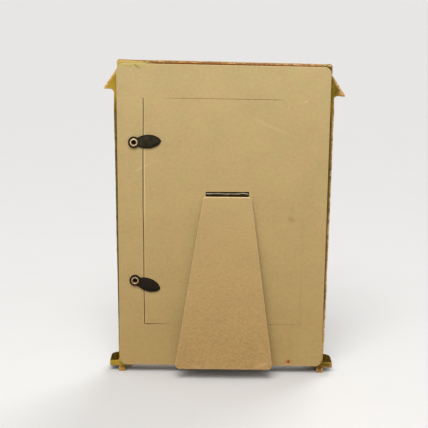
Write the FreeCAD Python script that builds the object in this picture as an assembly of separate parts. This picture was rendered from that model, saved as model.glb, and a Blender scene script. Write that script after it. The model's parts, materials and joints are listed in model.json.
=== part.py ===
import FreeCAD, Part
import math
import os

# Table-top picture frame for one upright 4 x 6 in print: a cast frame body on four
# small feet, and a card back with a hinged door, two turn buttons and an easel leg.
# Millimetres, +Z up. The picture faces -Y and the card back faces +Y. The origin is
# on the floor, in the middle of the whole frame's width and depth.

Vector = FreeCAD.Vector

# ---- driving dimensions ----

# the print and what is stacked behind the sight opening
print_width = 101.6
print_height = 152.4
print_thickness = 0.25
glass_thickness = 2.0
glass_margin = 0.4          # glass beyond the print, each side
pocket_gap = 0.6            # pocket wall beyond the glass, each side
filler_thickness = 4.0
filler_gap = 0.4            # filler board inside the glass outline, each side
stack_slack = 0.1           # free play between the filler board and the hinge tape
sight_lip = 3.2             # lip that holds the glass, in from the pocket wall
sight_land = 1.5            # straight part of the lip, next to the glass
sight_splay = 2.2           # how far the lip's bevel opens towards the front

# cast frame body, seen from the front
side_rail = 20.3            # pocket wall to the body's side, under the eaves
side_taper = 1.3            # body narrower at its foot than under the eaves, each side
base_height = 36.2          # floor to the pocket
frieze_height = 0.6         # plain band between the sight opening's bead and the eaves
parapet_height = 7.4
parapet_inset = 2.1         # parapet inside the body's side
eave_height = 12.3          # slope of the eaves, top to tip
eave_overhang = 7.2         # tip of the eaves beyond the body's side
eave_tip_height = 0.6       # blunt edge of the eaves
eave_step = 0.8             # eaves begin outside the parapet
cove_radius = 2.4           # hollow moulding under the eaves
foot_height = 3.8
foot_width = 4.6
foot_inset = 6.1            # foot inside the plinth's end
slab_height = 4.3
slab_overhang = 5.1         # plinth slab beyond the body's side
apron_end = 4.5             # plinth end block inside the feet
apron_rise = 2.4            # plinth underside higher between its end blocks
corner_radius = 0.5         # cast corners

# cast frame body, front to back
body_depth = 10.0
parapet_projection = 0.8    # in front of the body, as the next three
eave_projection = 5.5
slab_projection = 6.3
slab_corner = 6.0           # slab's front corners, seen from above
skirt_projection = 3.8
skirt_height = 5.0          # round moulding on the slab, across the front only
skirt_lean = 0.9            # skirt shallower at its top
skirt_radius = 1.8

# relief on the front of the cast body
bead_radius = 0.9           # round bead about the sight opening
pilaster_gap = 1.2          # bead to pilaster
pilaster_side_gap = 3.0     # pilaster to the body's side at its foot
pilaster_projection = 1.9
block_height = 7.0          # plain block at each end of a pilaster
block_margin = 0.8          # block proud of the pilaster, all round
flute_count = 3
flute_gap = 1.1             # flat between two flutes, and beside the outer ones
flute_depth = 0.9
panel_margin = 5.0          # sunk panel inside the plain field below the opening
panel_depth = 0.8
panel_corner = 1.5
dentil_size = 2.4           # width of a dentil and of the space beside it
dentil_drop = 0.4           # dentils reach below the hollow moulding
dentil_projection = 3.4

# card back
adhesive_thickness = 0.25
adhesive_height = 5.0       # width of the strips above and below the pocket
adhesive_inset = 1.0        # adhesive inside the board's edge and the relief's edge
board_thickness = 2.0
board_side_inset = 2.1      # board inside the body's side, under the eaves
board_top_inset = 1.65      # board below the top of the parapet
board_floor_gap = 5.5       # board above the floor
board_corner = 4.5
relief_width = 11.2         # shallow step about the pocket, clears the eyelets
relief_height = 3.0         # the same step, above and below the pocket
relief_depth = 1.4

# door in the card back, hinged on a scored fold
door_margin_fold = 2.9      # fold beyond the print's edge
door_margin_free = 1.9      # free edge beyond the print's edge
door_margin_ends = 1.25     # top and bottom edges beyond the print
door_free_cut = 0.6         # width of the cut along the free edge
door_end_cut = 0.25         # width of the cuts along the top and the bottom
fold_cut = 0.05

# turn buttons and the eyelets that hold them
pivot_offset = 6.2          # eyelet beyond the door's free edge
upper_pivot_rise = 48.25    # above the middle of the door
lower_pivot_drop = 46.45    # below the middle of the door
upper_button_angle = 3.2    # tip above level
lower_button_angle = -19.0  # tip below level
button_head_radius = 3.8
button_reach = 17.8         # eyelet to the tip of the leaf
leaf_overlap = 3.2          # leaf begins inside the head's edge
leaf_width = 9.1
button_thickness = 1.3
button_edge_radius = 0.45
button_neck_radius = 1.2    # hollow corner between the head and the leaf
button_float = 0.1          # free play of the button, below and above
eyelet_bore_radius = 1.55
eyelet_wall = 0.3
eyelet_fit = 0.08           # button hole beyond the eyelet's barrel
eyelet_flange_width = 0.75  # flange beyond the barrel
eyelet_flange_thickness = 0.5

# easel leg and its hinge tape
leg_shift = -3.1            # leg's centre line, off the middle of the frame
leg_axis_rise = 89.85       # hinge line above the door's bottom edge
leg_floor_gap = 7.4         # leg's foot above the floor when it is folded flat
leg_top_width = 32.3
leg_foot_width = 66.8
leg_foot_skew = 1.1         # middle of the foot, off the leg's centre line
leg_thickness = 2.0
leg_top_corner = 2.5
leg_foot_corner = 3.0
leg_standoff = 0.7          # leg's inner face off the door when it is folded flat
leg_rest_angle = 5.5        # how far the leg stands open at rest
tape_thickness = 0.4
tape_width = 28.0
tape_patch_height = 14.0    # glued length inside the door
tape_flap_length = 16.0     # glued length on the leg
bead_of_tape_radius = 0.5   # the tape's rolled fold, on the hinge line
tape_running_gap = 0.1
slot_gap = 0.45             # slot beyond the tape's edge, each side
slot_height = 3.35
slot_below_axis = 0.5

# ---- sizes and places that follow ----

glass_width = print_width + 2 * glass_margin
glass_height = print_height + 2 * glass_margin
pocket_half_width = glass_width / 2 + pocket_gap
pocket_low = base_height
pocket_high = pocket_low + glass_height + 2 * pocket_gap
print_middle = (pocket_low + pocket_high) / 2
sight_half_width = pocket_half_width - sight_lip
sight_low = pocket_low + sight_lip
sight_high = pocket_high - sight_lip

body_half_top = pocket_half_width + side_rail
body_half_foot = body_half_top - side_taper
parapet_half = body_half_top - parapet_inset
eave_half = body_half_top + eave_overhang
slab_half = body_half_top + slab_overhang

cove_low = sight_high + sight_splay + 2 * bead_radius + frieze_height
cove_top = cove_low + cove_radius
eave_tip = cove_top + eave_tip_height
parapet_low = eave_tip + eave_height
frame_top = parapet_low + parapet_height
slab_low = foot_height
slab_high = slab_low + slab_height
skirt_high = slab_high + skirt_height

door_fold = -(print_width / 2 + door_margin_fold)
door_free = print_width / 2 + door_margin_free
door_low = print_middle - print_height / 2 - door_margin_ends
door_high = print_middle + print_height / 2 + door_margin_ends

leg_axis_height = door_low + leg_axis_rise
leg_rest = math.radians(leg_rest_angle)
leg_end = leg_axis_height - leg_floor_gap
rear_reach = (adhesive_thickness + board_thickness + leg_standoff
              + leg_thickness * math.cos(leg_rest) + leg_end * math.sin(leg_rest))
front_reach = body_depth + slab_projection
back_plane = (front_reach - rear_reach) / 2
body_front = back_plane - body_depth
board_inner = back_plane + adhesive_thickness
board_outer = board_inner + board_thickness

filler_rear = board_inner - tape_thickness - stack_slack
print_rear = filler_rear - filler_thickness
glass_rear = print_rear - print_thickness
pocket_floor = glass_rear - glass_thickness

board_half_width = body_half_top - board_side_inset
board_low = board_floor_gap
board_high = frame_top - board_top_inset
relief_half_width = pocket_half_width + relief_width
relief_low = pocket_low - relief_height
relief_high = pocket_high + relief_height

pivot_x = door_free + pivot_offset
upper_pivot_z = print_middle + upper_pivot_rise
lower_pivot_z = print_middle - lower_pivot_drop
leaf_length = button_reach - button_head_radius + leaf_overlap
barrel_radius = eyelet_bore_radius + eyelet_wall
flange_radius = barrel_radius + eyelet_flange_width
button_inner = board_outer + button_float
button_outer = button_inner + button_thickness
flange_inner = button_outer + button_float

leg_axis_y = board_outer + leg_standoff
leg_top = leg_axis_height - bead_of_tape_radius - tape_running_gap
slot_low = leg_axis_height - slot_below_axis
slot_high = slot_low + slot_height
slot_half_width = tape_width / 2 + slot_gap


# ---- building blocks ----

tolerance = 0.01            # for telling edges apart
overshoot = 1.0             # cutters run past the faces they cut, and joined pieces sink in


def block(x_low, x_high, y_low, y_high, z_low, z_high):
    """A box between two corners."""
    return Part.makeBox(x_high - x_low, y_high - y_low, z_high - z_low, Vector(x_low, y_low, z_low))


def rounded_face(corners, place):
    """A face inside corners (a, b, radius); place(a, b) gives the point in space."""
    count = len(corners)
    turns = []
    for index, (a, b, radius) in enumerate(corners):
        corner = Vector(a, b, 0)
        if radius == 0:
            turns.append([corner])
            continue
        before = Vector(*corners[index - 1][:2], 0) - corner
        after = Vector(*corners[(index + 1) % count][:2], 0) - corner
        half_angle = before.getAngle(after) / 2
        before.normalize()
        after.normalize()
        run = radius / math.tan(half_angle)
        inward = (before + after).normalize()
        arc_middle = corner + inward * (radius / math.sin(half_angle) - radius)
        turns.append([corner + before * run, arc_middle, corner + after * run])
    edges = []
    for index, turn in enumerate(turns):
        points = [place(point.x, point.y) for point in turn]
        if len(points) == 3:
            edges.append(Part.Arc(*points).toShape())
        ahead = turns[(index + 1) % count][0]
        edges.append(Part.makeLine(points[-1], place(ahead.x, ahead.y)))
    return Part.Face(Part.Wire(edges))


def rounded_plate(half_width, z_low, z_high, y_low, y_high, radius):
    """An upright plate with round corners, centred on the middle of the frame."""
    corners = [(-half_width, z_low, radius), (half_width, z_low, radius),
               (half_width, z_high, radius), (-half_width, z_high, radius)]
    face = rounded_face(corners, lambda a, b: Vector(a, y_low, b))
    return face.extrude(Vector(0, y_high - y_low, 0))


def upright_rod(x, y, z_low, z_high, radius):
    """An upright cylinder with a ball at each end."""
    rod = Part.makeCylinder(radius, z_high - z_low, Vector(x, y, z_low))
    ends = [Part.makeSphere(radius, Vector(x, y, z)) for z in (z_low, z_high)]
    return rod.fuse(ends)


def cross_rod(x_low, x_high, y, z, radius):
    """A level cylinder along X."""
    return Part.makeCylinder(radius, x_high - x_low, Vector(x_low, y, z), Vector(1, 0, 0))


# ---- cast frame body ----

def casting_outline(reach_of):
    """One side of the body's outline from the slab up, as (reach, height, radius).

    reach_of maps each member's name to how far it stands out from the middle.
    """
    return [
        (reach_of["slab"], slab_low, corner_radius),
        (reach_of["slab"], slab_high, corner_radius),
        (reach_of["body foot"], slab_high, 0),
        (reach_of["body top"], cove_top, cove_radius),
        (reach_of["eave"], cove_top, 0),
        (reach_of["eave"], eave_tip, 0),
        (reach_of["parapet"] + eave_step, parapet_low, 0),
        (reach_of["parapet"], parapet_low, 0),
        (reach_of["parapet"], frame_top, corner_radius),
    ]


def casting_mass():
    """Plinth, body, eaves and parapet: the front outline crossed with the side outline."""
    half_widths = {"slab": slab_half, "body foot": body_half_foot, "body top": body_half_top,
                   "eave": eave_half, "parapet": parapet_half}
    right = casting_outline(half_widths)
    left = [(-a, b, r) for a, b, r in reversed(right)]
    front_view = rounded_face(right + left, lambda a, b: Vector(a, back_plane, b))
    front_prism = front_view.extrude(Vector(0, -front_reach, 0))

    depths = {"slab": front_reach, "body foot": body_depth, "body top": body_depth,
              "eave": body_depth + eave_projection, "parapet": body_depth + parapet_projection}
    front_edge = casting_outline(depths)
    back_edge = [(0, frame_top, corner_radius), (0, slab_low, corner_radius)]
    side_view = rounded_face(front_edge + back_edge, lambda a, b: Vector(-eave_half, back_plane - a, b))
    side_prism = side_view.extrude(Vector(2 * eave_half, 0, 0))
    return front_prism.common(side_prism)


def slab_corners():
    """Cutters that round the slab's two front corners, seen from above."""
    middle_y = back_plane - front_reach + slab_corner
    low = slab_low - overshoot
    high = slab_high + overshoot
    cutters = []
    for side in (-1, 1):
        middle_x = side * (slab_half - slab_corner)
        x_low, x_high = sorted((middle_x, side * (slab_half + overshoot)))
        square = block(x_low, x_high, middle_y - slab_corner - overshoot, middle_y, low, high)
        post = Part.makeCylinder(slab_corner, high - low, Vector(middle_x, middle_y, low))
        cutters.append(square.cut(post))
    return cutters


def casting_feet():
    """Four feet under the plinth's end blocks, the rear pair flush with the back plane."""
    foot_outer = slab_half - foot_inset
    slab_front = back_plane - front_reach
    feet = []
    for x_low in (foot_outer - foot_width, -foot_outer):
        for y_low in (back_plane - foot_width, slab_front + corner_radius):
            feet.append(block(x_low, x_low + foot_width, y_low, y_low + foot_width,
                              0, slab_low + corner_radius))
    return feet


def casting_hollows():
    """What is open in the body: sight opening, glass pocket, relief and apron."""
    sight = block(-sight_half_width, sight_half_width, body_front - overshoot,
                  pocket_floor + overshoot, sight_low, sight_high)
    bevel_rings = []
    for y, spread in ((pocket_floor - sight_land, 0), (body_front, sight_splay)):
        x = sight_half_width + spread
        low = sight_low - spread
        high = sight_high + spread
        ring = [Vector(-x, y, low), Vector(x, y, low), Vector(x, y, high), Vector(-x, y, high)]
        bevel_rings.append(Part.makePolygon(ring + ring[:1]))
    bevel = Part.makeLoft(bevel_rings, True, True)
    pocket = block(-pocket_half_width, pocket_half_width, pocket_floor, back_plane + overshoot,
                   pocket_low, pocket_high)
    relief = block(-relief_half_width, relief_half_width, back_plane - relief_depth,
                   back_plane + overshoot, relief_low, relief_high)
    apron_half = slab_half - foot_inset - foot_width - apron_end
    apron = block(-apron_half, apron_half, back_plane - front_reach - overshoot,
                  back_plane + overshoot, slab_low - overshoot, slab_low + apron_rise)
    return [sight, bevel, pocket, relief, apron]


def skirt():
    """Round moulding on the slab, across the front of the body."""
    corners = [(body_front + overshoot, slab_high, 0), (body_front + overshoot, skirt_high, 0),
               (body_front - skirt_projection + skirt_lean, skirt_high, skirt_radius),
               (body_front - skirt_projection, slab_high, 0)]
    end = rounded_face(corners, lambda a, b: Vector(-body_half_foot, a, b))
    return end.extrude(Vector(2 * body_half_foot, 0, 0))


def sight_bead():
    """Round bead about the sight opening, half sunk in the body's front."""
    x = sight_half_width + sight_splay + bead_radius
    low = sight_low - sight_splay - bead_radius
    high = sight_high + sight_splay + bead_radius
    uprights = [upright_rod(side * x, body_front, low, high, bead_radius) for side in (-1, 1)]
    return uprights + [cross_rod(-x, x, body_front, z, bead_radius) for z in (low, high)]


def pilasters():
    """Fluted strip with a plain block at each end, up each side of the front."""
    low = skirt_high
    high = cove_low
    front = body_front - pilaster_projection
    inner = sight_half_width + sight_splay + 2 * bead_radius + pilaster_gap
    pilaster_width = body_half_foot - pilaster_side_gap - inner
    flute_pitch = (pilaster_width - flute_gap) / flute_count
    flute_radius = (flute_pitch - flute_gap) / 2
    shapes = []
    for side in (-1, 1):
        middle = side * (inner + pilaster_width / 2)
        strip = block(middle - pilaster_width / 2, middle + pilaster_width / 2,
                      front, body_front + overshoot, low, high)
        flutes = []
        flute_y = front + flute_depth - flute_radius
        for index in range(flute_count):
            x = middle + (index - (flute_count - 1) / 2) * flute_pitch
            flutes.append(upright_rod(x, flute_y, low + 2 * block_height, high - 2 * block_height,
                                      flute_radius))
        shapes.append(strip.cut(flutes))
        for z_low in (low, high - block_height):
            shapes.append(block(middle - pilaster_width / 2 - block_margin,
                                middle + pilaster_width / 2 + block_margin,
                                front - block_margin, body_front + overshoot,
                                z_low, z_low + block_height))
    return shapes


def dentils():
    """Row of small blocks that fills the hollow moulding under the front eaves."""
    count = int(body_half_top / dentil_size - 1) // 2 * 2 + 1
    row = []
    for index in range(count):
        x = (index - (count - 1) / 2) * 2 * dentil_size
        row.append(block(x - dentil_size / 2, x + dentil_size / 2, body_front - dentil_projection,
                         body_front + overshoot, cove_low - dentil_drop, eave_tip))
    return row


def sunk_panel():
    """Cutter for the panel in the plain field below the sight opening."""
    half = sight_half_width - panel_margin
    low = skirt_high + panel_margin
    high = sight_low - sight_splay - 2 * bead_radius - panel_margin / 2
    return rounded_plate(half, low, high, body_front - overshoot, body_front + panel_depth, panel_corner)


def frame_casting():
    body = casting_mass()
    body = body.fuse(casting_feet())
    body = body.cut(casting_hollows() + slab_corners() + [sunk_panel()])
    return body.fuse([skirt()] + sight_bead() + pilasters() + dentils()).removeSplitter()


# ---- what lies in the pocket ----

def pocket_sheet(width, height, y_low, thickness):
    """A rectangular sheet centred on the print."""
    return block(-width / 2, width / 2, y_low, y_low + thickness,
                 print_middle - height / 2, print_middle + height / 2)


def glass_pane():
    return pocket_sheet(glass_width, glass_height, pocket_floor, glass_thickness)


def photo_insert():
    return pocket_sheet(print_width, print_height, glass_rear, print_thickness)


def filler_board():
    return pocket_sheet(glass_width - 2 * filler_gap, glass_height - 2 * filler_gap,
                        print_rear, filler_thickness)


# ---- card back ----

def adhesive_strips():
    """Four strips of double-sided tape between the body's back and the board."""
    side_high = relief_high + adhesive_inset
    side_low = relief_low - adhesive_inset
    outer = board_half_width - adhesive_inset
    width = outer - relief_half_width - adhesive_inset
    strips = []
    for x_low in (outer - width, -outer):
        strips.append(block(x_low, x_low + width, back_plane, board_inner, side_low, side_high))
    for z_low in (side_high, side_low - adhesive_height):
        strips.append(block(-outer, outer, back_plane, board_inner, z_low, z_low + adhesive_height))
    return Part.makeCompound(strips)


def eyelet_hole(z, radius):
    """Cutter for a hole through the board and a button at one pivot."""
    start = Vector(pivot_x, board_inner - overshoot, z)
    return Part.makeCylinder(radius, button_outer - board_inner + 2 * overshoot, start, Vector(0, 1, 0))


def back_board():
    board = rounded_plate(board_half_width, board_low, board_high, board_inner, board_outer, board_corner)
    doorway = block(door_fold - fold_cut, door_free + door_free_cut, board_inner - overshoot,
                    board_outer + overshoot, door_low - door_end_cut, door_high + door_end_cut)
    holes = [eyelet_hole(z, barrel_radius) for z in (upper_pivot_z, lower_pivot_z)]
    return board.cut([doorway] + holes)


def door_panel():
    panel = block(door_fold, door_free, board_inner, board_outer, door_low, door_high)
    slot = block(leg_shift - slot_half_width, leg_shift + slot_half_width, board_inner - overshoot,
                 board_outer + overshoot, slot_low, slot_high)
    return panel.cut(slot)


# ---- turn buttons and eyelets ----

def turn_button(pivot_z, angle):
    """Round head on the eyelet and a leaf that reaches over the door's free edge."""
    head = Part.Face(Part.Wire(Part.makeCircle(button_head_radius, Vector(0, 0, 0))))
    leaf_middle = Vector(leaf_length / 2 - button_reach, 0, 0)
    ellipse = Part.Ellipse(leaf_middle, leaf_length / 2, leaf_width / 2)
    leaf = Part.Face(Part.Wire(ellipse.toShape()))
    outline = head.fuse(leaf).removeSplitter()
    solid = outline.extrude(Vector(0, 0, button_thickness)).Solids[0]
    neck = []
    for edge in solid.Edges:
        box = edge.BoundBox
        upright = box.ZLength > button_thickness / 2 and box.DiagonalLength < button_head_radius
        if upright and abs(box.YMax) > tolerance:
            neck.append(edge)
    solid = solid.makeFillet(button_neck_radius, neck)
    rim = [edge for edge in solid.Edges if edge.BoundBox.ZMin > button_thickness - tolerance]
    solid = solid.makeFillet(button_edge_radius, rim)
    solid.rotate(Vector(0, 0, 0), Vector(0, 0, 1), angle)
    solid.rotate(Vector(0, 0, 0), Vector(1, 0, 0), -90)
    solid.translate(Vector(pivot_x, button_inner, pivot_z))
    return solid.cut(eyelet_hole(pivot_z, barrel_radius + eyelet_fit))


def eyelet(pivot_z):
    """Hollow rivet: barrel, round flange over the button, roll behind the board."""
    half = eyelet_flange_thickness / 2
    flange_outer = flange_inner + eyelet_flange_thickness
    roll_inner = board_inner - eyelet_flange_thickness
    barrel = Part.makeCylinder(barrel_radius, flange_outer - roll_inner,
                               Vector(pivot_x, roll_inner, pivot_z), Vector(0, 1, 0))
    rings = []
    for y_low in (flange_inner, roll_inner):
        disc = Part.makeCylinder(flange_radius - half, eyelet_flange_thickness,
                                 Vector(pivot_x, y_low, pivot_z), Vector(0, 1, 0))
        rim = Part.makeTorus(flange_radius - half, half, Vector(pivot_x, y_low + half, pivot_z),
                             Vector(0, 1, 0))
        rings.append(disc.fuse(rim))
    bore = Part.makeCylinder(eyelet_bore_radius, flange_outer - roll_inner + 2 * overshoot,
                             Vector(pivot_x, roll_inner - overshoot, pivot_z), Vector(0, 1, 0))
    return barrel.fuse(rings).cut(bore).removeSplitter()


# ---- easel leg and its hinge tape ----

def hinge_tape_anchor():
    """Half of the cloth tape that stays with the door: glued patch, web and rolled fold."""
    x_low = leg_shift - tape_width / 2
    x_high = leg_shift + tape_width / 2
    web_low = leg_axis_height - tape_thickness / 2
    tape_inner = board_inner - tape_thickness
    patch = block(x_low, x_high, tape_inner, board_inner, web_low, web_low + tape_patch_height)
    web = block(x_low, x_high, tape_inner, leg_axis_y, web_low, web_low + tape_thickness)
    fold = cross_rod(x_low, x_high, leg_axis_y, leg_axis_height, bead_of_tape_radius)
    return patch.fuse([web, fold]).removeSplitter()


def swing_leg_out(shape):
    """Turn a piece of the leg from folded flat to its rest position."""
    shape.rotate(Vector(0, leg_axis_y, leg_axis_height), Vector(1, 0, 0), leg_rest_angle)
    return shape


def easel_leg():
    corners = [(leg_foot_skew - leg_foot_width / 2, leg_floor_gap, leg_foot_corner),
               (leg_foot_skew + leg_foot_width / 2, leg_floor_gap, leg_foot_corner),
               (leg_top_width / 2, leg_top, leg_top_corner),
               (-leg_top_width / 2, leg_top, leg_top_corner)]
    face = rounded_face(corners, lambda a, b: Vector(leg_shift + a, leg_axis_y, b))
    return swing_leg_out(face.extrude(Vector(0, leg_thickness, 0)))


def hinge_tape_flap():
    """Half of the cloth tape that moves with the leg, glued to its inner face."""
    flap = block(leg_shift - tape_width / 2, leg_shift + tape_width / 2,
                 leg_axis_y - tape_thickness, leg_axis_y, leg_top - tape_flap_length, leg_top)
    return swing_leg_out(flap)


# ---- one file per piece ----

pieces = {
    "frame_casting": frame_casting(),
    "glass_pane": glass_pane(),
    "photo_insert": photo_insert(),
    "filler_board": filler_board(),
    "adhesive_strips": adhesive_strips(),
    "back_board": back_board(),
    "door_panel": door_panel(),
    "turn_button_upper": turn_button(upper_pivot_z, upper_button_angle),
    "turn_button_lower": turn_button(lower_pivot_z, lower_button_angle),
    "eyelet_upper": eyelet(upper_pivot_z),
    "eyelet_lower": eyelet(lower_pivot_z),
    "hinge_tape_anchor": hinge_tape_anchor(),
    "easel_leg": easel_leg(),
    "hinge_tape_flap": hinge_tape_flap(),
}

os.makedirs("parts", exist_ok=True)
for name, shape in pieces.items():
    shape.exportStep("parts/" + name + ".step")
    box = shape.BoundBox
    print("%-18s solids %d, valid %s, x %.2f..%.2f y %.2f..%.2f z %.2f..%.2f" % (
        name, len(shape.Solids), shape.isValid(),
        box.XMin, box.XMax, box.YMin, box.YMax, box.ZMin, box.ZMax))
print("back plane y %.3f, board outer face y %.3f" % (back_plane, board_outer))
print("leg hinge y %.3f z %.3f" % (leg_axis_y, leg_axis_height))
print("door hinge x %.3f y %.3f" % (door_fold, board_outer))
print("pivots x %.3f y %.3f z %.3f and %.3f" % (pivot_x, button_inner, upper_pivot_z, lower_pivot_z))
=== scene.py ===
import json
import math
from functools import partial

import bpy
import numpy as np
from mathutils import Matrix, Quaternion, Vector, noise
from mathutils.geometry import delaunay_2d_cdt


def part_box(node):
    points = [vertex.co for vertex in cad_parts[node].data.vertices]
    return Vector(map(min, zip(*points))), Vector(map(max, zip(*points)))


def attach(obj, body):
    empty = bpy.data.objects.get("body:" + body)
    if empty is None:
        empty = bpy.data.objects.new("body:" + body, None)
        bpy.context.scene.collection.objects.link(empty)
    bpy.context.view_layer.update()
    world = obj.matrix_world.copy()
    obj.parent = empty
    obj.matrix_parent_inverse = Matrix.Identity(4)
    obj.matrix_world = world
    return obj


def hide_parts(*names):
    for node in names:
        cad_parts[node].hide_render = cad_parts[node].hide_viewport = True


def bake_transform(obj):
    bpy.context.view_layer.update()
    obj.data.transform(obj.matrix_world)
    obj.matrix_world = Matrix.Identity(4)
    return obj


# A small table-top picture frame seen from behind: a cast, gilded body like a classical
# doorway, and a card back with a hinged door, two turn buttons and an easel leg.
# Metres, in the frame's own axes: +Z up, the picture faces -Y and the card back +Y.

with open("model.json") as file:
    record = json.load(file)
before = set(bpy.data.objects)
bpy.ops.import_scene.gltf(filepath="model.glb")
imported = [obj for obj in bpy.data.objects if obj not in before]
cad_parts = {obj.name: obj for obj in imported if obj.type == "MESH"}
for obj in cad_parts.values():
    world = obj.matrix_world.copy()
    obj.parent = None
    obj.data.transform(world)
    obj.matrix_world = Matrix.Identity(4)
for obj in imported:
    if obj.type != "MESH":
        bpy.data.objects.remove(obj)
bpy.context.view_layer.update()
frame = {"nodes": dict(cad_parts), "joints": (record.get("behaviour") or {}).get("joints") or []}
mm = 0.001


# ---- Table, lamps and camera ----
# The frame stands on a plain pale table with its card back to the camera. The room is a
# soft white tent: an even fill, a broad lamp high behind and before, a small one overhead.

def linear(code):
    """An sRGB colour such as "#C5AE7C" as the linear numbers that Blender mixes."""
    parts = [int(code[i:i + 2], 16) / 255 for i in (1, 3, 5)]
    return [c / 12.92 if c <= 0.04045 else ((c + 0.055) / 1.055) ** 2.4 for c in parts] + [1.0]


def add_node(tree, kind, inputs=(), **settings):
    """One shader node's outputs. inputs gives its sockets values, colours such as "#C5AE7C",
    or other nodes' outputs to take. A Mix blends colours unless its settings say otherwise."""
    made = tree.nodes.new("ShaderNode" + kind)
    if kind == "Mix":
        made.data_type = "RGBA"
    for name, value in settings.items():
        setattr(made, name, value)
    for socket, value in dict(inputs).items():
        if isinstance(value, bpy.types.NodeSocket):
            tree.links.new(value, made.inputs[socket])
        else:
            made.inputs[socket].default_value = linear(value) if isinstance(value, str) else value
    return made.outputs


def empty_nodes(owner):
    """Clears a material or a world, and returns add_node for its own tree."""
    owner.use_nodes = True
    owner.node_tree.nodes.clear()
    return partial(add_node, owner.node_tree)


def seen_directly(add):
    """1 where a pale background shows: to the camera, in a reflection and through glass."""
    path = add("LightPath")
    seen = add("Math", {0: path["Is Camera Ray"], 1: path["Is Glossy Ray"]}, operation="ADD")[0]
    return add("Math", {0: seen, 1: path["Is Transmission Ray"]}, operation="ADD", use_clamp=True)[0]


def new_material(name):
    """An empty material, add_node for its tree, and where a place lies in the frame, in metres."""
    made = bpy.data.materials.new(name)
    add = empty_nodes(made)
    return made, add, add("TexCoord")["Object"]


def place(name, data):
    """Puts a mesh, a lamp or a camera in the scene."""
    made = bpy.data.objects.new(name, data)
    scene.collection.objects.link(made)
    return made


def new_mesh(name, points, faces):
    made = bpy.data.meshes.new(name)
    made.from_pydata(points, [], faces)
    return made


scene = bpy.context.scene
room = bpy.data.worlds.new("soft_white_tent")
scene.world = room
add = empty_nodes(room)
fill = add("Background", {"Color": "#FFFDF9", "Strength": 0.50})[0]
shown = add("Background", {"Color": "#E4E3E2"})[0]
both = add("MixShader", {0: seen_directly(add), 1: fill, 2: shown})[0]
add("OutputWorld", {"Surface": both})

# Table top: white melamine board, rubbed dull. Only its tone as seen is
# pale, so that it throws little light up at the card.
reach = 30.0                 # to each side
corners = [(-reach, -reach, 0), (reach, -reach, 0), (reach, reach, 0), (-reach, reach, 0)]
table_mesh = new_mesh("table_top", corners, [(0, 1, 2, 3)])
table = place("table_top", table_mesh)

melamine, add, where = new_material("white_melamine_rubbed_dull")
mottle = add("TexNoise", {"Vector": where, "Scale": 1 / (40 * mm), "Detail": 3.0})[0]
pale = add("Mix", {0: mottle, 6: "#CFD1D5", 7: "#D2D4D8"})[2]
tone = add("Mix", {0: seen_directly(add), 6: "#8A8680", 7: pale})[2]
surface = add("BsdfPrincipled", {"Base Color": tone, "Roughness": 0.6, "Specular IOR Level": 0.0})[0]
add("OutputMaterial", {"Surface": surface})
table_mesh.materials.append(melamine)

lamp_white = linear("#FFFAF2")[:3]
lamps = {"back_lamp": ((0.13, 0.90, 1.15), 1.83), "front_lamp": ((-0.50, -0.95, 0.85), 1.55)}
for name, (come_from, strength) in lamps.items():
    lamp = bpy.data.lights.new(name, "SUN")
    lamp.energy = strength
    lamp.angle = math.radians(38)
    lamp.color = lamp_white
    place(name, lamp).rotation_euler = Vector(come_from).to_track_quat("Z", "Y").to_euler()

top = bpy.data.lights.new("top_lamp", "AREA")
top.shape = "DISK"
top.size = 0.35
top.energy = 0.9
top.color = lamp_white
top_lamp = place("top_lamp", top)
top_lamp.location = (0.02, 0.30, 0.52)
top_lamp_aim = Vector((0, 0, 0.15))
top_lamp.rotation_euler = (top_lamp.location - top_lamp_aim).to_track_quat("Z", "Y").to_euler()

card_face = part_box("back_board")[1].y
camera_place = Vector((3.05 * mm, card_face + 651.14 * mm, 266.81 * mm))
camera_aim = Vector((5.72 * mm, card_face, 113.54 * mm))
camera_roll = math.radians(0.514)
lens = bpy.data.cameras.new("camera")
lens.sensor_width = 36.0
lens.lens = 84.11
lens.clip_start, lens.clip_end = 0.05, 100.0
camera = place("camera", lens)
camera.location = camera_place
level = (camera_aim - camera_place).to_track_quat("-Z", "Y")
camera.rotation_mode = "QUATERNION"
camera.rotation_quaternion = level @ Quaternion((0, 0, 1), camera_roll)
scene.camera = camera
scene.view_settings.view_transform = "Standard"


# ---- Cast frame body ----
# One polyresin casting from a rubber mould. It is painted dark green-brown, rubbed over
# with antique gold, and worn on every edge down to a pinkish undercoat. Being cast and
# hand rubbed, its arrises are soft and nothing on it is quite straight.

def link_piece(name, mesh, material, smooth=None):
    """Puts a mesh in the scene as a piece. smooth says how its faces are shaded, if at all."""
    mesh.materials.clear()
    mesh.materials.append(material)
    if smooth is not None:
        mesh.polygons.foreach_set("use_smooth", [smooth] * len(mesh.polygons))
    return place(name, mesh)


def read(items, field, width, kind=np.float32):
    """A field of each of a mesh's items, as rows of so many numbers."""
    rows = np.zeros((len(items), width), kind)
    items.foreach_get(field, rows.ravel())
    return rows


def set_points(mesh, points):
    mesh.vertices.foreach_set("co", np.asarray(points, np.float32).ravel())
    mesh.update()


def points_of(mesh):
    return read(mesh.vertices, "co", 3).astype(float)


def stored(mesh, name):
    return read(mesh.attributes[name].data, "value", 1)[:, 0]


def store(mesh, name, values):
    """Keeps one number for each vertex, for the material to read."""
    mesh.attributes.new(name, "FLOAT", "POINT").data.foreach_set("value", np.asarray(values, np.float32))


def ripple(points, wave, seed):
    """Smooth noise from -1 to 1 at each point, with hills about a wave apart."""
    shift = Vector((seed * 7.3, seed * 3.1, seed * 5.7))
    return np.array([noise.noise(Vector(p) / wave + shift) for p in points])


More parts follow.
